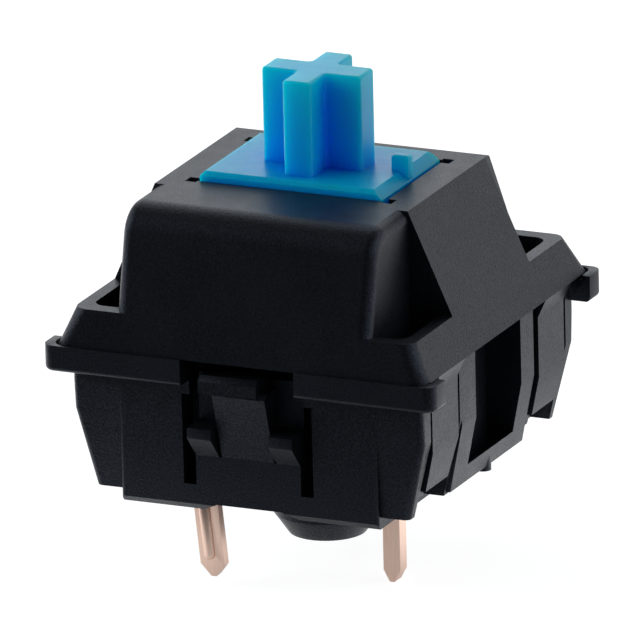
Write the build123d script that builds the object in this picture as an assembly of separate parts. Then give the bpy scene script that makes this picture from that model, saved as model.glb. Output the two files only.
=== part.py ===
from build123d import *
import os

os.makedirs("parts", exist_ok=True)

# Millimetres. Origin on the axis of the centre post, in the plane of the circuit board.
# Front is -Y, the side that carries the contacts. +Z is up.

# Mounting: square cut-out in a metal plate, with the board underneath
plate_cutout = 14.0
plate_sheet = 1.5
cutout_clearance = 0.05
seat_height = 5.0
body_half = (plate_cutout - cutout_clearance) / 2

# Clearances
running_gap = 0.05
slide_gap = 0.12
seam_gap = 0.1
seat_gap = 0.02
bottom_gap = 0.2

# How far parts of one moulding run into each other, and how far cuts run past a face
join = 0.1
past = 1.0

# Flange: one strip in front and one behind
flange_overhang = 0.8
flange_thickness = 1.0
flange_depth = 1.2
flange_corner_radius = 0.45
flange_edge_radius = 0.18
flange_half = plate_cutout / 2 + flange_overhang
flange_top = seat_height + flange_thickness
bed_depth = 0.15
flange_bed = flange_top - bed_depth

# Lower housing, outside: corner columns that lean back, side bars and a belly between the columns
column_taper_start = 3.4
column_bottom = 0.45
column_taper = 0.725
column_bottom_half = body_half - column_taper
column_front_lean = 0.36
bar_half = 3.35
bar_taper_start = 3.15
bar_bottom = 0.55
bar_taper = 0.535
bar_bottom_half = body_half - bar_taper
belly_inset = 1.85
belly_half = body_half - belly_inset
belly_front_lean = 0.05
belly_chamfer = 0.25
belly_edge_radius = 0.15
belly_top = 4.5
foot_height = 0.3
foot_rim = 0.9
foot_notch_half = 1.3
foot_notch_flare = 0.63
upright_edge_radius = 0.25
nub_y = 0.15
nub_radius = 0.3
nub_inset = 0.15
nub_bottom = 0.35
nub_top = 0.95

# Lower housing, inside
floor_thickness = 0.7
floor_top = foot_height + floor_thickness
chamber_wall_x = 1.875
chamber_wall_y = 1.475
chamber_half_x = body_half - chamber_wall_x
chamber_half_y = body_half - chamber_wall_y
wall_top = flange_bed + seam_gap

# Centre post and plunger guide
travel = 4.0
post_radius = 2.0
post_tip_height = 0.8
post_tip_taper = 0.55
post_end_wall = 0.6
guide_radius = 1.8
guide_height = 2.2
guide_top = floor_top + guide_height
pole_radius = 1.45
pole_engagement = 0.6
pole_spare = 0.6
pole_chamfer = 0.25
pole_bottom = guide_top - pole_engagement
bore_bottom = pole_bottom - travel - pole_spare
post_bottom = bore_bottom - post_end_wall

# Plate clips, front and rear
clip_half = 2.09
clip_slot = 0.5
clip_root = 1.0
clip_head_room = 0.55
clip_top = flange_top - clip_head_room
clip_thickness = 0.8
clip_web = 0.4
clip_rib_half = 1.05
clip_rib_foot = 2.2
clip_rib_setback = 0.1
clip_rib_reach = flange_half - clip_rib_setback
clip_rib_drop = 0.5
clip_rib_top = clip_top - clip_rib_drop
clip_crown = 0.65
clip_crown_left = 1.6
clip_crown_right = 0.72
clip_edge = 0.2
clip_nose_in = 1.15
clip_nose_reach = 0.7
clip_nose_face = body_half + clip_nose_reach
clip_nose_gap = 0.1
clip_nose_top = seat_height - plate_sheet - clip_nose_gap
clip_nose_lip = 0.4
clip_ramp_height = 0.85
clip_ramp_end = clip_nose_top - clip_nose_lip
clip_ramp_start = clip_ramp_end - clip_ramp_height
clip_wall = 0.5
clip_notch_half = 2.27
clip_notch_depth = 0.55

# Side window of the lower housing
window_half = 2.07
window_bottom = 1.5
window_fall = 0.9
window_wall = 0.45

# Legs that hold the upper housing down
leg_centre = 4.85
leg_width = 2.34
leg_tip_taper = 0.17
leg_thickness = 0.8
leg_tip = 1.35
leg_shoulder = 5.2
leg_kink = 2.9
leg_slope = 0.256
leg_inset = 0.05
leg_toe = 0.15
leg_join = 0.4
leg_side_gap = 0.15
leg_wide_gap = 0.45
hook_depth = 0.35
hook_bottom = 1.9
hook_height = 0.8
hook_root = 0.2

# Upper housing
top_height = 11.2
top_inset = 1.925
top_half = body_half - top_inset
skirt_inset_x = 0.42
skirt_inset_y = 0.2
skirt_half_x = flange_half - skirt_inset_x
skirt_half_y = flange_half - skirt_inset_y
skirt_corner_radius = 0.6
rim_rise = 1.42
rear_rim_setback = 0.3
rim_height = wall_top + rim_rise
front_lean = 0.23
front_edge_radius = 1.3
top_edge_radius = 0.22
block_edge_radius = 0.45
rear_top_inset = 3.075
rear_top_y = body_half - rear_top_inset
rear_foot_inset = 0.775
rear_foot_y = body_half - rear_foot_inset
wedge_half = 3.5
pocket_depth = 0.75
pocket_floor = rim_height - pocket_depth
pocket_front_wall = 0.6
pocket_side_wall = 0.5
pocket_corner_radius = 0.5
roof_thickness = 1.0
shell_wall = 0.9
hood_draft = 0.6
hood_cove = 1.0
lamp_niche_half = 2.5
lamp_niche_ledge = 1.0
lamp_niche_back = rear_top_y + lamp_niche_ledge
lamp_niche_wall = 0.6
lamp_niche_lean = 0.25
lamp_niche_depth = 0.4
lamp_niche_floor = rim_height - lamp_niche_depth
roof_underside = top_height - roof_thickness

# Plunger
plate_half_x = 3.64
plate_half_y = 2.62
plate_proud = 0.35
plate_gap_x = 0.15
plate_gap_y = 0.08
plate_bevel = 0.16
side_bevel = 0.38
relief_size = 0.34
cross_span = 3.95
cross_arm_x = 1.3
cross_arm_y = 1.12
cross_height = 3.6
cross_edge_radius = 0.14
tab_width = 0.68
tab_height = 0.6
tab_length = 0.4
tab_edge_radius = 0.12
tab_front = -0.15
plate_top = top_height + plate_proud
plate_thickness = 1.25
skirt_x = 3.0
skirt_y = 2.8
skirt_wall = 0.45
skirt_rise = 0.1
skirt_bottom = floor_top + travel + bottom_gap + skirt_rise
shoulder_top = roof_underside - seat_gap
shoulder_depth = 1.3
shoulder_bottom = roof_underside - shoulder_depth
ear_gap = 0.15
hood_wall = 0.6
hood_half = top_half - hood_wall
ear_reach = hood_half - ear_gap
ear_half = 1.2
ear_height = 0.85
lug_reach = 0.35
lug_height = 0.4
lug_half = 0.8
spring_ceiling = plate_top - plate_thickness

# Click collar
collar_play = 1.0
collar_wall_x = 0.55
collar_wall_y = 0.5
collar_corner_radius = 0.4
collar_bottom = floor_top + travel + bottom_gap
collar_head_gap = 0.3
collar_top = shoulder_bottom - collar_play - collar_head_gap
finger_centre = 1.75
finger_width = 0.9
finger_reach = 0.28
finger_face = skirt_y + slide_gap + collar_wall_y + finger_reach
finger_slope = 0.08
finger_lead = 0.15
finger_straight = 0.5

# Return spring
wire_diameter = 0.25
spring_radius = 2.05
spring_turns = 9
wire_sides = 6

# Contacts
leaf_pin_x = -2.54
leaf_pin_inset = 0.42
leaf_pin_y = leaf_pin_inset - chamber_half_y
fixed_pin_x = 3.81
fixed_pin_y = -2.54
leaf_pin_bottom = -3.05
fixed_pin_bottom = -3.35
pin_tip_length = 0.45
pin_tip_width = 0.2
leaf_pin_width = 0.96
leaf_pin_thickness = 0.4
leaf_pin_rib = 0.22
leaf_pin_rib_end = 0.4
leaf_pin_rib_shift = 0.06
leaf_pin_lean = 0.3
fixed_pin_width = 0.68
fixed_pin_depth = 0.62
pin_slot_gap = 0.08
leaf_thickness = 0.15
leaf_pivot_rise = 0.3
leaf_pivot_height = floor_top + leaf_pivot_rise
leaf_plate_top = 2.9
leaf_plate_left = -4.2
leaf_plate_radius = 0.3
leaf_half = 2.2
leaf_lap = 1.0
leaf_top = collar_bottom + leaf_lap
leaf_arm_width = 0.9
leaf_bump_height = 0.8
leaf_bump_half = 0.36
leaf_tongue_half = 0.5
contact_drop = 1.4
contact_height = leaf_top - contact_drop
leaf_tongue_lap = 0.4
leaf_tongue_top = contact_height + leaf_tongue_lap
fixed_plate_gap = 0.15
fixed_plate_y = -finger_face - fixed_plate_gap
fixed_plate_thickness = 0.3
fixed_strip_height = 1.15
fixed_strip_bottom = floor_top + running_gap
fixed_strip_top = fixed_strip_bottom + fixed_strip_height
fixed_upright_half = 0.6
fixed_upright_lap = 0.6
fixed_upright_top = contact_height + fixed_upright_lap
contact_gap = 0.2
contact_length = 0.9
moving_bar_size = 0.24
leaf_face = leaf_pin_y + leaf_pin_thickness / 2


def block(x0, x1, y0, y1, z0, z1):
    """Box between two corners."""
    size = Box(x1 - x0, y1 - y0, z1 - z0)
    return Pos((x0 + x1) / 2, (y0 + y1) / 2, (z0 + z1) / 2) * size


def along_y(points, y0, y1):
    """Prism with an outline of (x, z) points, from y0 to y1."""
    face = make_face(Polyline(*[(x, 0, z) for x, z in points], close=True))
    return Pos(0, y0, 0) * extrude(face, y1 - y0, dir=(0, 1, 0))


def along_x(points, x0, x1):
    """Prism with an outline of (y, z) points, from x0 to x1."""
    face = make_face(Polyline(*[(0, y, z) for y, z in points], close=True))
    return Pos(x0, 0, 0) * extrude(face, x1 - x0, dir=(1, 0, 0))


def both_sides(shape):
    """A shape and its mirror image across X."""
    return shape + mirror(shape, Plane.YZ)


def front_and_rear(shape):
    """A shape and its mirror image across Y."""
    return shape + mirror(shape, Plane.XZ)


def rod(radius, z0, z1):
    """Cylinder on the post axis."""
    return Pos(0, 0, (z0 + z1) / 2) * Cylinder(radius, z1 - z0)


def side_x(z):
    """Half width of the upper housing's sloping sides at a height."""
    share = (z - wall_top) / (top_height - wall_top)
    return skirt_half_x + (top_half - skirt_half_x) * share


def front_y(z):
    """Depth of the upper housing's front face at a height, as a distance from the axis."""
    return skirt_half_y - front_lean * (z - wall_top)


def column_y(z):
    """Depth of the corner columns' front faces at a height, as a distance from the axis."""
    return body_half - column_front_lean * (belly_top - z) / belly_top


def belly_y(z):
    """Depth of the belly's front face at a height, as a distance from the axis."""
    return body_half - belly_front_lean * (belly_top - z) / belly_top


def bar_x(z):
    """Half width of the tapered part of the side bars at a height."""
    share = (bar_taper_start - z) / (bar_taper_start - bar_bottom)
    return body_half - (body_half - bar_bottom_half) * share


def leg_x(z):
    """Outer face of the tapered part of the legs at a height."""
    return body_half - leg_slope * (leg_kink - z)


def channel_x(z):
    """Back wall of the tapered part of the leg channels at a height."""
    return leg_x(z) - leg_thickness - running_gap


def make_flange():
    """Front and rear strips that rest on the plate, each with a bed for the upper housing."""
    y_in = flange_half - flange_depth
    strip = block(-flange_half, flange_half, -flange_half, -y_in, seat_height, flange_top)
    strip = fillet(strip.edges().filter_by(Axis.Z).group_by(Axis.Y)[0], flange_corner_radius)
    ends = strip.edges().group_by(Axis.Z)[0].filter_by(lambda e: e.center().Y < -y_in - join)
    strip = fillet(ends, flange_edge_radius)
    bed_x = skirt_half_x + seam_gap
    bed_y = skirt_half_y + seam_gap
    bed = block(-bed_x, bed_x, -bed_y, bed_y, flange_bed, flange_top + past)
    bed = fillet(bed.edges().filter_by(Axis.Z), skirt_corner_radius)
    return front_and_rear(strip - bed)


def make_clip():
    """Springy plate clip at the front: a thin web with a rib, a crown and two snap noses."""
    root = belly_y(clip_root)
    back = root - clip_thickness
    web_face = back + clip_web
    base = block(-clip_half, clip_half, -root, -back, clip_root, clip_ramp_start)
    web = block(-clip_half, clip_half, -web_face, -back, clip_root, clip_top - clip_edge)
    rib = along_x([
        (-back, clip_root), (-root, clip_root), (-root, clip_rib_foot),
        (-clip_rib_reach, clip_rib_top - clip_edge), (-clip_rib_reach + clip_edge, clip_rib_top),
        (-back, clip_rib_top),
    ], -clip_rib_half, clip_rib_half)
    crown = along_x([
        (-clip_rib_reach, clip_top - clip_crown), (-clip_rib_reach, clip_top - clip_edge),
        (-clip_rib_reach + clip_edge, clip_top), (-back, clip_top), (-back, clip_top - clip_crown),
    ], -clip_crown_left, clip_crown_right)
    nose = along_x([
        (-back, clip_root), (-root, clip_root), (-root, clip_ramp_start),
        (-clip_nose_face, clip_ramp_end), (-clip_nose_face, clip_nose_top), (-back, clip_nose_top),
    ], clip_nose_in, clip_half)
    return base + web + rib + crown + both_sides(nose)


def make_hooks():
    """Four catches in the leg channels that the notches in the legs snap over."""
    top = hook_bottom + hook_height
    tip = channel_x(hook_bottom) + hook_depth
    root = channel_x(hook_bottom) - hook_root
    hooks = []
    for centre in (-leg_centre, leg_centre):
        hook = along_y([
            (root, hook_bottom), (tip, hook_bottom), (tip, hook_bottom + hook_height / 2),
            (channel_x(top), top), (root, top),
        ], centre - leg_width / 4, centre + leg_width / 4)
        hooks.append(both_sides(hook))
    return hooks


def make_post():
    """Centre post below the floor and guide tube above it, around one bore for the pole."""
    tip_top = post_bottom + post_tip_height
    post = rod(post_radius, tip_top, foot_height + join)
    post += Pos(0, 0, (post_bottom + tip_top) / 2) * Cone(
        post_radius - post_tip_taper, post_radius, post_tip_height)
    return post + rod(guide_radius, floor_top - join, guide_top)


def make_lower_shape():
    """Outside of the lower housing below the flange."""
    sides = along_y([
        (-body_half, wall_top), (-body_half, column_taper_start), (-column_bottom_half, column_bottom),
        (-belly_half, column_bottom), (-belly_half, 0), (belly_half, 0), (belly_half, column_bottom),
        (column_bottom_half, column_bottom), (body_half, column_taper_start), (body_half, wall_top),
    ], -body_half, body_half)
    front_back = along_x([
        (-body_half, wall_top), (-body_half, belly_top), (-column_y(0), 0), (column_y(0), 0),
        (body_half, belly_top), (body_half, wall_top),
    ], -body_half, body_half)
    shell = sides & front_back
    steep = shell.edges().filter_by(lambda e: abs(e.tangent_at(0.5).Z) > 0.7)
    shell = fillet(steep.filter_by(lambda e: abs(e.center().X) > belly_half + join), upright_edge_radius)

    foot_y = belly_y(0) - belly_chamfer
    belly = along_x([
        (-body_half, belly_top), (-belly_y(0), belly_chamfer), (-foot_y, 0),
        (foot_y, 0), (belly_y(0), belly_chamfer), (body_half, belly_top),
    ], -belly_half, belly_half)
    steep = belly.edges().filter_by(lambda e: abs(e.tangent_at(0.5).Z) > 0.9)
    shell += fillet(steep, belly_edge_radius)

    bar = along_y([
        (chamber_half_x, belly_top), (body_half, belly_top), (body_half, bar_taper_start),
        (bar_bottom_half, bar_bottom), (chamber_half_x, bar_bottom),
    ], -bar_half, bar_half)
    shell += both_sides(bar)
    nub_x = bar_x(nub_top) - nub_inset
    return shell + Pos(nub_x - nub_inset, nub_y, (nub_bottom + nub_top) / 2) * Cylinder(
        nub_radius, nub_top - nub_bottom)


def make_lower_housing():
    """Open box that holds the mechanism, with flange strips, plate clips and centre post."""
    body = make_lower_shape()
    rim_x = belly_half - foot_rim
    rim_y = belly_y(0) - foot_rim
    body -= block(-rim_x, rim_x, -rim_y, rim_y, -past, foot_height)
    body -= along_y([
        (-foot_notch_half - foot_notch_flare, 0), (-foot_notch_half, foot_height),
        (foot_notch_half, foot_height), (foot_notch_half + foot_notch_flare, 0),
    ], -body_half - past, body_half + past)

    body += make_flange()
    body -= block(-chamber_half_x, chamber_half_x, -chamber_half_y, chamber_half_y,
                  floor_top, flange_top + past)

    slot_outer = clip_half + clip_slot
    gap_back = chamber_half_y + clip_wall
    notch_low = seat_height - clip_notch_depth
    slots = block(-slot_outer, slot_outer, -flange_half - past, -gap_back, clip_root, notch_low)
    slots += block(-clip_notch_half, clip_notch_half, -flange_half - past, -gap_back,
                   clip_root, flange_top + past)
    body -= front_and_rear(slots)
    body += front_and_rear(make_clip())

    window_back = chamber_half_x + window_wall
    window = along_y([
        (window_back, flange_top), (window_back, window_bottom - window_fall), (body_half, window_bottom),
        (skirt_half_x, window_bottom), (skirt_half_x, flange_top),
    ], -window_half, window_half)
    body -= both_sides(window)

    half = leg_width / 2
    outline = [
        (skirt_half_x + past, wall_top), (channel_x(leg_kink), wall_top), (channel_x(leg_kink), leg_kink),
        (channel_x(column_bottom), column_bottom), (channel_x(column_bottom), -past),
        (skirt_half_x + past, -past),
    ]
    for y0, y1 in ((-leg_centre - half - leg_side_gap, -leg_centre + half + leg_side_gap),
                   (leg_centre - half - leg_wide_gap, leg_centre + half + leg_side_gap)):
        body -= both_sides(along_y(outline, y0, y1))
    for hook in make_hooks():
        body += hook

    body += make_post()
    body -= rod(pole_radius + running_gap, bore_bottom, guide_top + past)

    for x, y, w, d in ((leaf_pin_x, leaf_pin_y, leaf_pin_width, leaf_pin_thickness),
                       (fixed_pin_x, fixed_pin_y, fixed_pin_width, fixed_pin_depth)):
        half_w = w / 2 + pin_slot_gap
        half_d = d / 2 + pin_slot_gap
        body -= block(x - half_w, x + half_w, y - half_d, y + half_d, -past, floor_top + join)
    return body


def make_pocket(x, y):
    """Open pocket between the cover and the rim, out to its rounded corner at x and y."""
    pocket = block(top_half, x, wedge_half, y, pocket_floor, top_height + past)
    outer = pocket.edges().filter_by(Axis.Z).sort_by(lambda e: e.center().X + e.center().Y)[-1]
    return fillet(outer, pocket_corner_radius)


def make_upper_shape():
    """Outside of the upper housing: sloping cover with four open corner pockets."""
    rim_x = side_x(rim_height)
    front_rim_y = front_y(rim_height)
    rear_rim_y = front_rim_y - rear_rim_setback
    sides = along_y([
        (-skirt_half_x, wall_top), (-top_half, top_height), (top_half, top_height),
        (skirt_half_x, wall_top),
    ], -skirt_half_y - past, skirt_half_y + past)
    front_back = along_x([
        (-skirt_half_y, wall_top), (-front_y(top_height), top_height), (rear_top_y, top_height),
        (rear_foot_y, rim_height), (rear_rim_y, rim_height), (skirt_half_y, wall_top),
    ], -skirt_half_x - past, skirt_half_x + past)
    nose_edge = front_back.edges().filter_by(Axis.X).group_by(Axis.Z)[-1].sort_by(Axis.Y)[0]
    front_back = fillet(nose_edge, front_edge_radius)
    cover = sides & front_back

    corner = block(top_half, skirt_half_x + past, wedge_half, skirt_half_y + past,
                   rim_height, top_height + past)
    cover -= both_sides(front_and_rear(corner))
    steep = cover.edges().filter_by(lambda e: abs(e.tangent_at(0.5).Z) > 0.7)
    corners = steep.filter_by(
        lambda e: e.center().Z < rim_height and abs(e.center().X) > rim_x - join
        and abs(e.center().Y) > rear_rim_y - join)
    cover = fillet(corners, skirt_corner_radius)
    steep = cover.edges().filter_by(lambda e: abs(e.tangent_at(0.5).Z) > 0.7)
    uprights = steep.filter_by(
        lambda e: abs(abs(e.center().X) - top_half) < seat_gap and e.center().Y < -wedge_half - past)
    cover = fillet(uprights, block_edge_radius)
    rear_edge = cover.edges().filter_by(Axis.X).filter_by(
        lambda e: abs(e.center().Z - top_height) < seat_gap and abs(e.center().Y - rear_top_y) < seat_gap)
    cover = fillet(rear_edge, top_edge_radius)

    pocket_x = rim_x - pocket_side_wall
    cover -= both_sides(make_pocket(pocket_x, rear_rim_y - pocket_front_wall))
    return cover - mirror(both_sides(make_pocket(pocket_x, front_rim_y - pocket_front_wall)), Plane.XZ)


def make_leg(y0, y1):
    """One springy leg on the +X side, narrower at its tip, with a notch behind it for the hook."""
    inner = body_half - leg_thickness
    root_top = wall_top + leg_join
    leg = along_y([
        (inner, root_top), (side_x(root_top) - leg_inset, root_top), (skirt_half_x - leg_inset, wall_top),
        (body_half, leg_shoulder), (body_half, leg_kink), (leg_x(leg_tip), leg_tip),
        (leg_x(leg_tip) - leg_thickness + leg_toe, leg_tip), (inner, leg_kink),
    ], y0, y1)
    leg &= along_x([
        (y0, root_top), (y0, leg_kink), (y0 + leg_tip_taper, leg_tip), (y1 - leg_tip_taper, leg_tip),
        (y1, leg_kink), (y1, root_top),
    ], 0, flange_half)
    middle = (y0 + y1) / 2
    half = (y1 - y0) / 4 + slide_gap
    hook_tip = channel_x(hook_bottom) + hook_depth
    notch = block(inner - leg_thickness, hook_tip + slide_gap, middle - half, middle + half,
                  hook_bottom - slide_gap, hook_bottom + hook_height + slide_gap)
    return leg - notch


def make_upper_housing():
    """Cover that guides the plunger, with the four legs that snap into the lower housing."""
    cover = make_upper_shape()
    hood_foot = skirt_half_y - shell_wall - hood_draft
    hood_front = front_y(top_height) - shell_wall
    hood_rear = lamp_niche_back - shell_wall
    cover -= along_x([
        (-hood_foot, wall_top - past), (-hood_foot, wall_top), (-hood_front, roof_underside),
        (hood_rear - hood_cove, roof_underside), (hood_rear, roof_underside - hood_cove),
        (hood_rear, wall_top - past),
    ], -hood_half, hood_half)

    open_x = plate_half_x + plate_gap_x
    open_y = plate_half_y + plate_gap_y
    cover -= block(-open_x, open_x, -open_y, open_y, roof_underside - past, top_height + past)
    relief = block(open_x - join, open_x + relief_size, open_y - relief_size, open_y + relief_size / 2,
                   roof_underside - past, top_height + past)
    cover -= both_sides(front_and_rear(relief))

    cover -= along_x([
        (lamp_niche_back, lamp_niche_floor), (lamp_niche_back - lamp_niche_lean, top_height),
        (skirt_half_y, top_height),
        (front_y(rim_height) - rear_rim_setback - lamp_niche_wall, lamp_niche_floor),
    ], -lamp_niche_half, lamp_niche_half)

    for centre in (-leg_centre, leg_centre):
        cover += both_sides(make_leg(centre - leg_width / 2, centre + leg_width / 2))
    return cover


def make_plate():
    """Bevelled plate that fills the opening, with the upright tab on its right edge."""
    x, y = plate_half_x, plate_half_y
    plate = block(-x, x, -y, y, shoulder_bottom, plate_top)
    others = [e for e in plate.edges().group_by(Axis.Z)[-1] if e.center().X < x - join]
    plate = chamfer(others, plate_bevel)
    plate -= along_y([
        (x - side_bevel, plate_top), (x - side_bevel, plate_top + past),
        (x + past, plate_top + past), (x + past, top_height), (x, top_height),
    ], -y - past, y + past)
    tab = block(x - seat_gap - tab_width, x - seat_gap, tab_front, tab_front + tab_length,
                shoulder_top, plate_top + tab_height)
    return plate + fillet(tab.edges().group_by(Axis.Z)[-1], tab_edge_radius)


def make_cross():
    """Cross that a key cap pushes onto."""
    reach = cross_span / 2
    top = plate_top + cross_height
    cross = block(-reach, reach, -cross_arm_x / 2, cross_arm_x / 2, plate_top - join, top)
    cross += block(-cross_arm_y / 2, cross_arm_y / 2, -reach, reach, plate_top - join, top)
    cross = fillet(cross.edges().filter_by(Axis.Z), cross_edge_radius)
    return fillet(cross.edges().group_by(Axis.Z)[-1], cross_edge_radius * 0.9)


def make_plunger():
    """Sliding stem: cross, plate, hollow skirt with stop ears and collar lugs, guide pole."""
    body = make_plate() + make_cross()
    body += block(-skirt_x, skirt_x, -skirt_y, skirt_y, skirt_bottom, shoulder_top)
    body += block(-ear_reach, ear_reach, -ear_half, ear_half, shoulder_top - ear_height, shoulder_top)
    body += block(-skirt_x - lug_reach, skirt_x + lug_reach, -lug_half, lug_half,
                  skirt_bottom, skirt_bottom + lug_height)
    body -= block(skirt_wall - skirt_x, skirt_x - skirt_wall, skirt_wall - skirt_y, skirt_y - skirt_wall,
                  skirt_bottom - past, spring_ceiling)
    pole = rod(pole_radius, pole_bottom, spring_ceiling + join)
    return body + chamfer(pole.edges().group_by(Axis.Z)[0], pole_chamfer)


def make_click_collar():
    """Loose frame round the plunger's skirt; its two front fingers work the contact leaf."""
    hole_x = skirt_x + slide_gap
    hole_y = skirt_y + slide_gap
    out_x = hole_x + collar_wall_x
    out_y = hole_y + collar_wall_y
    frame = block(-out_x, out_x, -out_y, out_y, collar_bottom, collar_top)
    frame = fillet(frame.edges().filter_by(Axis.Z), collar_corner_radius)
    slope_start = collar_bottom + finger_straight
    top_face = finger_face - finger_slope * (collar_top - slope_start)
    finger = along_x([
        (-hole_y - join, collar_bottom), (-finger_face + finger_lead, collar_bottom),
        (-finger_face, collar_bottom + finger_lead), (-finger_face, slope_start),
        (-top_face, collar_top), (-hole_y - join, collar_top),
    ], finger_centre - finger_width / 2, finger_centre + finger_width / 2)
    frame += both_sides(finger)
    frame -= block(-hole_x, hole_x, -hole_y, hole_y, collar_bottom - past, collar_top + past)
    lug_room = skirt_x + lug_reach + slide_gap
    return frame - block(-lug_room, lug_room, -lug_half - slide_gap, lug_half + slide_gap,
                         collar_bottom - past, skirt_bottom + lug_height + seat_gap)


def make_return_spring():
    """Coil spring between the floor and the plunger's ceiling."""
    low = floor_top + wire_diameter / 2 + seat_gap
    high = spring_ceiling - wire_diameter / 2 - seat_gap
    path = Helix((high - low) / spring_turns, high - low, spring_radius)
    wire = RegularPolygon(wire_diameter / 2, wire_sides)
    section = Plane(origin=path @ 0, z_dir=path % 0) * wire
    return Pos(0, 0, low) * sweep(section, path, is_frenet=True)


def make_pin(x, y, width, depth, bottom, lean=0):
    """Solder pin with a blunt pointed end, which may lean sideways below the housing."""
    half = width / 2
    tip = pin_tip_width / 2
    top = floor_top + join
    shoulder = bottom + pin_tip_length
    at_shoulder = x + lean * shoulder / bottom
    at_tip = x + lean
    outline = [
        (x - half, top), (x - half, 0), (at_shoulder - half, shoulder), (at_tip - tip, bottom),
        (at_tip + tip, bottom), (at_shoulder + half, shoulder), (x + half, 0), (x + half, top),
    ]
    return along_y(outline, y - depth / 2, y + depth / 2)


def make_leaf_terminal():
    """Front left pin, with the upright plate that holds the contact leaf."""
    x, y = leaf_pin_x, leaf_pin_y
    front = y - leaf_pin_thickness / 2
    pin = make_pin(x, y, leaf_pin_width, leaf_pin_thickness, leaf_pin_bottom, leaf_pin_lean)
    rib_x = x - leaf_pin_rib_shift
    rib_low = leaf_pin_bottom + pin_tip_length + leaf_pin_rib_end
    rib_end = (rib_x + leaf_pin_lean * rib_low / leaf_pin_bottom, front, rib_low)
    rib_path = Line((rib_x, front, -join), rib_end)
    rib = sweep(Plane(origin=rib_path @ 0, z_dir=rib_path % 0) * Circle(leaf_pin_rib), rib_path)
    rib += Pos(*rib_end) * Sphere(leaf_pin_rib)
    plate = block(leaf_plate_left, leaf_half, front, leaf_face, floor_top, leaf_plate_top)
    return pin + rib + fillet(plate.edges().filter_by(Axis.Y), leaf_plate_radius)


def make_contact_leaf():
    """Thin springy leaf with two side arms, their bumps, and a centre tongue."""
    back = leaf_face
    front = leaf_face + leaf_thickness
    leaf = block(-leaf_half, leaf_half, back, front, leaf_pivot_height, leaf_plate_top)
    leaf += both_sides(block(leaf_half - leaf_arm_width, leaf_half, back, front, leaf_pivot_height, leaf_top))
    leaf += block(-leaf_tongue_half, leaf_tongue_half, back, front, leaf_pivot_height, leaf_tongue_top)
    tip = -finger_face - running_gap
    root = front - leaf_thickness / 2
    high = leaf_top - join
    bump = along_x([
        (root, high - leaf_bump_height), (tip, high - leaf_bump_height * 0.6),
        (tip, high - leaf_bump_height * 0.4), (root, high),
    ], finger_centre - leaf_bump_half, finger_centre + leaf_bump_half)
    return leaf + both_sides(bump)


def make_contact_bar(size):
    """Contact bar of triangular section along X, standing on a face towards +Y."""
    return along_x([(0, -size / 2), (size, 0), (0, size / 2)], -contact_length / 2, contact_length / 2)


def make_fixed_terminal():
    """Right pin, with the strip that carries the fixed contact to the middle."""
    x, y = fixed_pin_x, fixed_pin_y
    right = x + fixed_pin_width / 2
    near = fixed_plate_y
    far = near - fixed_plate_thickness
    pin = make_pin(x, y, fixed_pin_width, fixed_pin_depth, fixed_pin_bottom)
    strip = block(-fixed_upright_half, right, far, near, fixed_strip_bottom, fixed_strip_top)
    upright = block(-fixed_upright_half, fixed_upright_half, far, near, fixed_strip_bottom, fixed_upright_top)
    link = block(x, right, far, y + fixed_pin_depth / 2, fixed_strip_bottom, fixed_strip_top)
    return pin + strip + upright + link


def save(name, shape):
    """Write one node."""
    export_step(shape, f"parts/{name}.step")


fixed_face = fixed_plate_y - fixed_plate_thickness
moving_face = leaf_face + leaf_thickness
fixed_bar_size = fixed_face - moving_face - moving_bar_size - contact_gap
moving_place = Pos(0, moving_face, contact_height)
fixed_place = Pos(0, fixed_face, contact_height) * Rot(0, 90, 180)

save("lower_housing", make_lower_housing())
save("upper_housing", make_upper_housing())
save("plunger", make_plunger())
save("click_collar", make_click_collar())
save("return_spring", make_return_spring())
save("leaf_terminal", make_leaf_terminal())
save("contact_leaf", make_contact_leaf())
save("fixed_terminal", make_fixed_terminal())
save("moving_contact_point", moving_place * make_contact_bar(moving_bar_size))
save("fixed_contact_point", fixed_place * make_contact_bar(fixed_bar_size))
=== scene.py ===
import math

import bpy
from mathutils import Matrix, Vector


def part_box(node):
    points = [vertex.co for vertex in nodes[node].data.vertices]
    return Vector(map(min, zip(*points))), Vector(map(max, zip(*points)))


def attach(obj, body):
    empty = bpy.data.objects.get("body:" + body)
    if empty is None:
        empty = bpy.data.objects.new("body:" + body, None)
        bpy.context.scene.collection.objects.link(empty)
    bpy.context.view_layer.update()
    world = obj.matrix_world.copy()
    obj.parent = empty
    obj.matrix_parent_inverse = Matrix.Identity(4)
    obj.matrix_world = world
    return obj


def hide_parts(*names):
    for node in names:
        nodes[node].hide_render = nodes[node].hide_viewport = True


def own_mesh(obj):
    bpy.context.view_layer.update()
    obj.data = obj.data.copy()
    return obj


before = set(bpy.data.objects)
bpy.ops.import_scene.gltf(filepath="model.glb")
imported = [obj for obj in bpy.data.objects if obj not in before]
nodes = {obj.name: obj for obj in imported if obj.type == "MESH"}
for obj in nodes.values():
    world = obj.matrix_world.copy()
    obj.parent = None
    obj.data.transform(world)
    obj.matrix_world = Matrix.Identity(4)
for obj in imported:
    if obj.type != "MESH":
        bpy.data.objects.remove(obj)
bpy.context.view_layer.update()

MM = 0.001

# Angles are in degrees: azimuth 0 is the front and 90 the right side.

# Camera, fitted to the photograph: nearly parallel rays from the front right, a little above
VIEW_TARGET = Vector((0, 0, 6 * MM))
VIEW_AZIMUTH = 24.340
VIEW_ELEVATION = 17.660
VIEW_ROLL = -1.326
VIEW_DISTANCE = 900 * MM
VIEW_CLIP = (10 * MM, 20000 * MM)
SENSOR_MM = 36.0
FRAME_WIDTH = 23.455 * MM
AIM_RIGHT = -0.1084 * MM
AIM_UP = -0.5223 * MM

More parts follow.
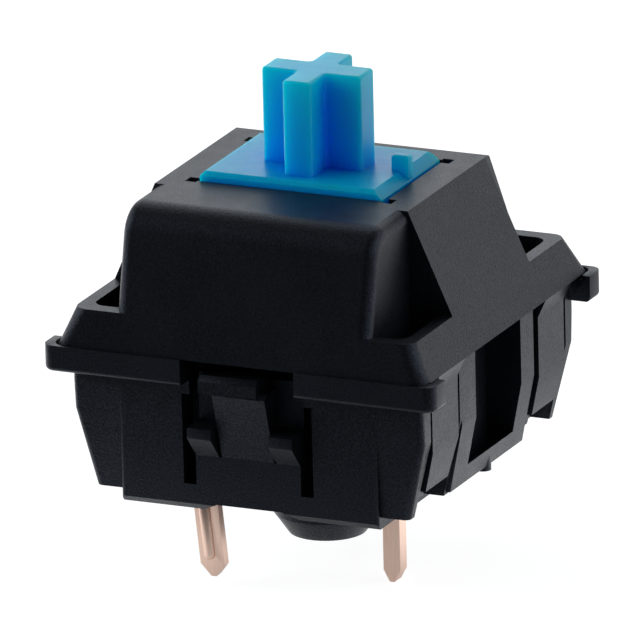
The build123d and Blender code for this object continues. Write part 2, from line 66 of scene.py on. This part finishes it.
# Floor, lamps and surroundings, where a strength of 1 is white
FLOOR_Z = -3.4 * MM
FLOOR_SIZE = 2400 * MM
FLOOR_GREY = (0.4, 0.4, 0.4, 1)
FLOOR_SHOWN = 0.90
WORLD_PLAIN = 0.055
WHITE = (1, 1, 1, 1)
LAMP_COLOUR = (0.90, 0.95, 1.0)
LAMP_DISTANCE = 500 * MM
LAMPS = (
    # name, azimuth, elevation, width, strength, whether reflections show it
    ("rear_softbox", 195, 32, 500 * MM, 0.9, True),
    ("left_softbox", -78, 25, 350 * MM, 2.0, True),
    ("left_fill", -66, 20, 350 * MM, 2.4, False),
    ("right_softbox", 110, 25, 350 * MM, 1.5, True),
    ("front_softbox", 68, 28, 300 * MM, 0.8, True),
)

# Clean-up of the CAD meshes before their edges are rounded
WELD_GAP = 0.0005 * MM
FLAT_ANGLE = 0.5
SHARP_ANGLE = 32
EDGE_SEGMENTS = 2

# Return spring
WIRE_THICKNESS = 0.25 * MM
WIRE_SIDES_LEVEL = 3
SPRING_TURNS = 9
STEPS_PER_TURN = 48
END_FLATNESS = 0.55

# How noise is stretched to leave streaks in metal
STREAKS_ALONG_X = (0.2, 1.0, 1.0)
STREAKS_ALONG_Z = (1.0, 1.0, 0.12)
NO_STREAKS = (1.0, 1.0, 1.0)

# Colour sockets of a Mix node
MIX_FIRST, MIX_SECOND, MIX_RESULT = 6, 7, 2


# Shader helpers

def new_material(name):
    """Empty node material with its shader and a texture position in millimetres."""
    material = bpy.data.materials.new(name)
    material.use_nodes = True
    tree = material.node_tree
    shader = tree.nodes["Principled BSDF"]
    place = tree.nodes.new("ShaderNodeTexCoord")
    scale = tree.nodes.new("ShaderNodeVectorMath")
    scale.operation = "SCALE"
    scale.inputs["Scale"].default_value = 1 / MM
    tree.links.new(place.outputs["Object"], scale.inputs[0])
    return material, tree, shader, scale.outputs[0]


def set_inputs(shader, values):
    """Sets the values that are the same all over a surface."""
    for name, value in values.items():
        shader.inputs[name].default_value = value


def noise(tree, position, scale, detail, roughness=0.5, stretch=None):
    """Noise value over a position, which may be stretched along an axis."""
    if stretch:
        mapping = tree.nodes.new("ShaderNodeMapping")
        mapping.inputs["Scale"].default_value = stretch
        tree.links.new(position, mapping.inputs["Vector"])
        position = mapping.outputs["Vector"]
    texture = tree.nodes.new("ShaderNodeTexNoise")
    texture.inputs["Scale"].default_value = scale
    texture.inputs["Detail"].default_value = detail
    texture.inputs["Roughness"].default_value = roughness
    tree.links.new(position, texture.inputs["Vector"])
    return texture.outputs["Fac"]


def ramp(tree, value, stops):
    """Colours at places along a value."""
    node = tree.nodes.new("ShaderNodeValToRGB")
    while len(node.color_ramp.elements) < len(stops):
        node.color_ramp.elements.new(0.5)
    for element, (place, colour) in zip(node.color_ramp.elements, stops):
        element.position = place
        element.color = (*colour, 1)
    tree.links.new(value, node.inputs["Fac"])
    return node.outputs["Color"]


def spread(tree, value, low, high):
    """A value from 0 to 1 brought to the range from low to high."""
    node = tree.nodes.new("ShaderNodeMapRange")
    node.inputs["To Min"].default_value = low
    node.inputs["To Max"].default_value = high
    tree.links.new(value, node.inputs["Value"])
    return node.outputs["Result"]


def along(tree, place, axis, low, high):
    """Map Range node that goes from 0 to 1 between two places along an axis."""
    split = tree.nodes.new("ShaderNodeSeparateXYZ")
    node = tree.nodes.new("ShaderNodeMapRange")
    node.inputs["From Min"].default_value = low
    node.inputs["From Max"].default_value = high
    tree.links.new(place, split.inputs[0])
    tree.links.new(split.outputs[axis], node.inputs["Value"])
    return node


def level(tree, place, axis, low, high, dim, bright):
    """Light level that goes softly from dim to bright between two places along an axis."""
    node = along(tree, place, axis, low, high)
    node.interpolation_type = "SMOOTHSTEP"
    node.inputs["To Min"].default_value = dim
    node.inputs["To Max"].default_value = bright
    return node.outputs["Result"]


def math_node(tree, operation, first, second):
    """Sum, product or largest of two values, each a socket or a number."""
    node = tree.nodes.new("ShaderNodeMath")
    node.operation = operation
    for socket, value in zip(node.inputs, (first, second)):
        if isinstance(value, (int, float)):
            socket.default_value = value
        else:
            tree.links.new(value, socket)
    return node.outputs[0]


def multiply_colours(tree, first, second):
    """Product of two colours."""
    node = tree.nodes.new("ShaderNodeMix")
    node.data_type = "RGBA"
    node.blend_type = "MULTIPLY"
    node.inputs["Factor"].default_value = 1.0
    tree.links.new(first, node.inputs[MIX_FIRST])
    tree.links.new(second, node.inputs[MIX_SECOND])
    return node.outputs[MIX_RESULT]


def bump(tree, shader, layers):
    """Fine relief from (value, strength, depth in millimetres) layers."""
    normal = None
    for value, strength, depth in layers:
        node = tree.nodes.new("ShaderNodeBump")
        node.inputs["Strength"].default_value = strength
        node.inputs["Distance"].default_value = depth * MM
        tree.links.new(value, node.inputs["Height"])
        if normal:
            tree.links.new(normal, node.inputs["Normal"])
        normal = node.outputs["Normal"]
    tree.links.new(normal, shader.inputs["Normal"])


# Materials, with the scales of their noise per millimetre

def housing_plastic():
    """Black moulded plastic with the fine spark-eroded grain of its mould."""
    material, tree, shader, place = new_material("housing_black")
    patches = noise(tree, place, scale=0.35, detail=4)
    handling = noise(tree, place, scale=1.6, detail=4)
    grain = noise(tree, place, scale=15.0, detail=2, roughness=0.6)
    colour = ramp(tree, patches, [
        (0.3, (0.006, 0.007, 0.009)),
        (0.7, (0.010, 0.011, 0.014)),
    ])
    sparkle = ramp(tree, grain, [
        (0.35, (0.3, 0.3, 0.3)),
        (0.65, (0.7, 0.7, 0.7)),
    ])
    roughness = spread(tree, handling, low=0.31, high=0.43)
    tree.links.new(colour, shader.inputs["Base Color"])
    tree.links.new(sparkle, shader.inputs["Specular IOR Level"])
    tree.links.new(roughness, shader.inputs["Roughness"])
    set_inputs(shader, {
        "IOR": 1.4,
        "Specular Tint": (0.66, 0.76, 1.0, 1),
    })
    bump(tree, shader, [(patches, 0.25, 0.02), (grain, 0.9, 0.018)])
    return material


def stem_plastic():
    """Bright blue translucent acetal, with painted shade making it deeper blue in its corners and
    painted top light brightening it up the cross.
    """
    material, tree, shader, place = new_material("stem_blue")
    # painted shade: the occlusion below picks out corners and recesses, where the blue is made
    # deeper and darker
    corners = tree.nodes.new("ShaderNodeAmbientOcclusion")
    corners.inputs["Distance"].default_value = 1.2 * MM
    corners.samples = 8
    depth = ramp(tree, corners.outputs["AO"], [
        (0.35, (0.000, 0.340, 0.760)),
        (0.65, (0.000, 0.525, 0.960)),
        (1.00, (0.001, 0.600, 1.000)),
    ])
    # painted top light: the blue gets lighter upwards, from just under the plate's face to the
    # top of the cross, in millimetres
    height = along(tree, place, "Z", low=11.4, high=15.2)
    painted_top_light = ramp(tree, height.outputs["Result"], [
        (0.04, (1, 0.80, 1)),
        (0.06, (1, 0.76, 1)),
        (0.40, (1, 0.81, 1)),
        (0.65, (1, 0.89, 1)),
        (1.00, (1, 1.00, 1)),
    ])
    # the colour multiplies the painted corner shade by the painted top light
    colour = multiply_colours(tree, depth, painted_top_light)
    roughness = spread(tree, noise(tree, place, scale=2.0, detail=3), low=0.28, high=0.38)
    tree.links.new(colour, shader.inputs["Base Color"])
    tree.links.new(roughness, shader.inputs["Roughness"])
    set_inputs(shader, {
        "IOR": 1.44,
        "Specular Tint": (0.30, 0.70, 1.0, 1),
        "Subsurface Weight": 1.0,
        "Subsurface Radius": (0.15, 0.8, 1.0),
        "Subsurface Scale": 2.4 * MM,
    })
    waves = noise(tree, place, scale=1.4, detail=3)
    grain = noise(tree, place, scale=12.0, detail=3)
    bump(tree, shader, [(waves, 0.4, 0.05), (grain, 0.5, 0.010)])
    return material


def collar_plastic():
    """Milky white acetal of the click collar."""
    material, tree, shader, place = new_material("collar_white")
    colour = ramp(tree, noise(tree, place, scale=0.8, detail=3), [
        (0.3, (0.80, 0.80, 0.77)),
        (0.7, (0.86, 0.86, 0.84)),
    ])
    roughness = spread(tree, noise(tree, place, scale=2.0, detail=3), low=0.32, high=0.42)
    tree.links.new(colour, shader.inputs["Base Color"])
    tree.links.new(roughness, shader.inputs["Roughness"])
    set_inputs(shader, {
        "Subsurface Weight": 0.2,
        "Subsurface Radius": (1.0, 0.9, 0.8),
        "Subsurface Scale": 0.5 * MM,
    })
    bump(tree, shader, [(noise(tree, place, scale=10.0, detail=3), 0.2, 0.004)])
    return material


def metal(name, dark, light, rough, streaks):
    """Sheet or wire metal with fine streaks left by drawing or rolling."""
    material, tree, shader, place = new_material(name)
    lines = noise(tree, place, scale=6.0, detail=4, roughness=0.6, stretch=streaks)
    colour = ramp(tree, lines, [(0.25, dark), (0.75, light)])
    roughness = spread(tree, lines, low=rough, high=rough + 0.14)
    tree.links.new(colour, shader.inputs["Base Color"])
    tree.links.new(roughness, shader.inputs["Roughness"])
    set_inputs(shader, {"Metallic": 1.0})
    bump(tree, shader, [(lines, 0.25, 0.004)])
    return material


# Geometry helpers

def soften(node, width):
    """Rounds a moulded or stamped node's sharp edges by a width in millimetres."""
    weld = node.modifiers.new("Weld", "WELD")
    weld.merge_threshold = WELD_GAP
    planar = node.modifiers.new("Planar", "DECIMATE")
    planar.decimate_type = "DISSOLVE"
    planar.angle_limit = math.radians(FLAT_ANGLE)
    bevel = node.modifiers.new("Bevel", "BEVEL")
    bevel.width = width * MM
    bevel.segments = EDGE_SEGMENTS
    bevel.limit_method = "ANGLE"
    bevel.angle_limit = math.radians(SHARP_ANGLE)
    bevel.harden_normals = False
    even = node.modifiers.new("Normals", "WEIGHTED_NORMAL")
    even.keep_sharp = False


def paint(node, material):
    """Gives one material to every slot of a node."""
    if not node.material_slots:
        node.data.materials.append(material)
    for place in node.material_slots:
        place.material = material


def spring_path(radius, bottom, length):
    """Points of a coil whose first and last turns lie nearly flat."""
    points = []
    for n in range(SPRING_TURNS * STEPS_PER_TURN + 1):
        turn = n / STEPS_PER_TURN
        share = turn / SPRING_TURNS
        ease = math.sin(2 * math.pi * share) / (2 * math.pi)
        height = bottom + length * (share - ease * END_FLATNESS)
        angle = 2 * math.pi * turn
        points.append((radius * math.cos(angle), radius * math.sin(angle), height))
    return points


def round_spring(node):
    """Round wire coil in the space of the faceted CAD spring."""
    low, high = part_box(node)
    wire = WIRE_THICKNESS / 2
    radius = (high[0] - low[0]) / 2 - wire
    points = spring_path(radius, low[2] + wire, high[2] - low[2] - 2 * wire)
    curve = bpy.data.curves.new("spring_wire", "CURVE")
    curve.dimensions = "3D"
    curve.bevel_depth = wire
    curve.bevel_resolution = WIRE_SIDES_LEVEL
    curve.use_fill_caps = True
    spline = curve.splines.new("POLY")
    spline.points.add(len(points) - 1)
    for point, co in zip(spline.points, points):
        point.co = (*co, 1)
    holder = bpy.data.objects.new("spring_path", curve)
    bpy.context.collection.objects.link(holder)
    bpy.context.view_layer.update()
    evaluated = holder.evaluated_get(bpy.context.evaluated_depsgraph_get())
    mesh = bpy.data.meshes.new_from_object(evaluated)
    bpy.data.objects.remove(holder)
    mesh.name = "spring_coil"
    for face in mesh.polygons:
        face.use_smooth = True
    coil = bpy.data.objects.new("spring_coil", mesh)
    bpy.context.collection.objects.link(coil)
    return coil


# Pieces

black = housing_plastic()
blue = stem_plastic()
white = collar_plastic()
copper = metal("terminal_copper", dark=(0.82, 0.58, 0.47), light=(0.98, 0.72, 0.60),
               rough=0.30, streaks=STREAKS_ALONG_Z)
bronze = metal("leaf_copper", dark=(0.62, 0.36, 0.24), light=(0.78, 0.48, 0.33),
               rough=0.22, streaks=STREAKS_ALONG_Z)
gold = metal("contact_gold", dark=(0.80, 0.58, 0.20), light=(0.95, 0.74, 0.34),
             rough=0.15, streaks=STREAKS_ALONG_X)
steel = metal("spring_steel", dark=(0.45, 0.45, 0.46), light=(0.68, 0.68, 0.70),
              rough=0.2, streaks=NO_STREAKS)

# material, and width of the rounded edges in millimetres
finishes = {
    "lower_housing": (black, 0.11),
    "upper_housing": (black, 0.09),
    "plunger": (blue, 0.05),
    "click_collar": (white, 0.05),
    "leaf_terminal": (copper, 0.03),
    "contact_leaf": (bronze, 0.02),
    "fixed_terminal": (copper, 0.03),
    "moving_contact_point": (gold, 0.01),
    "fixed_contact_point": (gold, 0.01),
}
for name, (material, width) in finishes.items():
    paint(nodes[name], material)
    soften(nodes[name], width)

coil = round_spring("return_spring")
paint(coil, steel)
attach(coil, "housing")
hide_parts("return_spring")
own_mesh(coil)


# Studio

def direction(azimuth, elevation):
    """Unit vector from the object towards a camera or a lamp."""
    a = math.radians(azimuth)
    e = math.radians(elevation)
    return Vector((math.sin(a) * math.cos(e), -math.cos(a) * math.cos(e), math.sin(e)))


def make_floor():
    """Pale floor that looks white to the camera and in reflections, and keeps the soft shadow."""
    bpy.ops.mesh.primitive_plane_add(size=FLOOR_SIZE, location=(0, 0, FLOOR_Z))
    floor = bpy.context.object
    floor.name = "floor"
    material = bpy.data.materials.new("floor")
    material.use_nodes = True
    tree = material.node_tree
    tree.nodes.remove(tree.nodes["Principled BSDF"])
    output = tree.nodes["Material Output"]
    matt = tree.nodes.new("ShaderNodeBsdfDiffuse")
    matt.inputs["Color"].default_value = FLOOR_GREY
    glow = tree.nodes.new("ShaderNodeEmission")
    glow.inputs["Color"].default_value = WHITE
    path = tree.nodes.new("ShaderNodeLightPath")
    place = tree.nodes.new("ShaderNodeTexCoord").outputs["Object"]

    # what glossy surfaces meet: a strip in front, dimmer to the right, and the floor behind
    front = level(tree, place, "Y", -17 * MM, -12 * MM, dim=0.0, bright=1.0)
    across = level(tree, place, "X", -5.5 * MM, -2.0 * MM, dim=0.95, bright=0.45)
    behind = level(tree, place, "Y", -4 * MM, 5 * MM, dim=0.0, bright=0.80)
    further = level(tree, place, "Y", 9 * MM, 20 * MM, dim=0.0, bright=-0.50)
    strip = math_node(tree, "MULTIPLY", front, across)
    mirrored = math_node(tree, "ADD", strip, math_node(tree, "ADD", behind, further))

    to_camera = math_node(tree, "MULTIPLY", path.outputs["Is Camera Ray"], FLOOR_SHOWN)
    to_gloss = math_node(tree, "MULTIPLY", path.outputs["Is Glossy Ray"], mirrored)
    strength = math_node(tree, "ADD", to_camera, to_gloss)
    tree.links.new(strength, glow.inputs["Strength"])
    both = tree.nodes.new("ShaderNodeAddShader")
    tree.links.new(matt.outputs[0], both.inputs[0])
    tree.links.new(glow.outputs[0], both.inputs[1])
    tree.links.new(both.outputs[0], output.inputs["Surface"])
    floor.data.materials.append(material)


def make_world():
    """Plain grey surroundings, white to the camera, and pale behind the object in reflections."""
    world = bpy.data.worlds.new("studio")
    world.use_nodes = True
    tree = world.node_tree
    backdrop = tree.nodes["Background"]
    path = tree.nodes.new("ShaderNodeLightPath")
    place = tree.nodes.new("ShaderNodeTexCoord").outputs["Generated"]
    behind = level(tree, place, "Y", -0.2, 0.8, dim=0.0, bright=0.85)
    upwards = level(tree, place, "Z", 0.05, 0.5, dim=1.0, bright=0.2)
    mirrored = math_node(tree, "MULTIPLY", behind, upwards)
    to_gloss = math_node(tree, "MULTIPLY", path.outputs["Is Glossy Ray"], mirrored)
    light = math_node(tree, "ADD", to_gloss, WORLD_PLAIN)
    strength = math_node(tree, "MAXIMUM", path.outputs["Is Camera Ray"], light)
    backdrop.inputs["Color"].default_value = WHITE
    tree.links.new(strength, backdrop.inputs["Strength"])
    bpy.context.scene.world = world


def softbox(name, azimuth, elevation, size, strength, mirrored):
    """Square area light that faces the object and gives it a light level of its strength."""
    data = bpy.data.lights.new(name, "AREA")
    data.shape = "SQUARE"
    data.size = size
    data.energy = strength * size * size * math.pi
    data.color = LAMP_COLOUR
    lamp = bpy.data.objects.new(name, data)
    bpy.context.collection.objects.link(lamp)
    away = direction(azimuth, elevation)
    lamp.location = VIEW_TARGET + away * LAMP_DISTANCE
    lamp.rotation_euler = away.to_track_quat("Z", "Y").to_euler()
    lamp.visible_camera = False
    lamp.visible_glossy = mirrored


def make_camera():
    """Camera at the photograph's viewing angle."""
    away = direction(VIEW_AZIMUTH, VIEW_ELEVATION)
    upright = away.to_track_quat("Z", "Y").to_matrix()
    turned = upright @ Matrix.Rotation(math.radians(VIEW_ROLL), 3, "Z")
    right = turned.col[0]
    up = turned.col[1]
    data = bpy.data.cameras.new("camera")
    data.sensor_width = SENSOR_MM
    data.lens = SENSOR_MM * VIEW_DISTANCE / FRAME_WIDTH
    data.clip_start, data.clip_end = VIEW_CLIP
    camera = bpy.data.objects.new("camera", data)
    bpy.context.collection.objects.link(camera)
    aim = VIEW_TARGET + right * AIM_RIGHT + up * AIM_UP
    camera.location = aim + away * VIEW_DISTANCE
    camera.rotation_euler = turned.to_euler()
    bpy.context.scene.camera = camera


make_floor()
make_camera()
make_world()
for lamp in LAMPS:
    softbox(*lamp)

bpy.context.scene.view_settings.view_transform = "Standard"
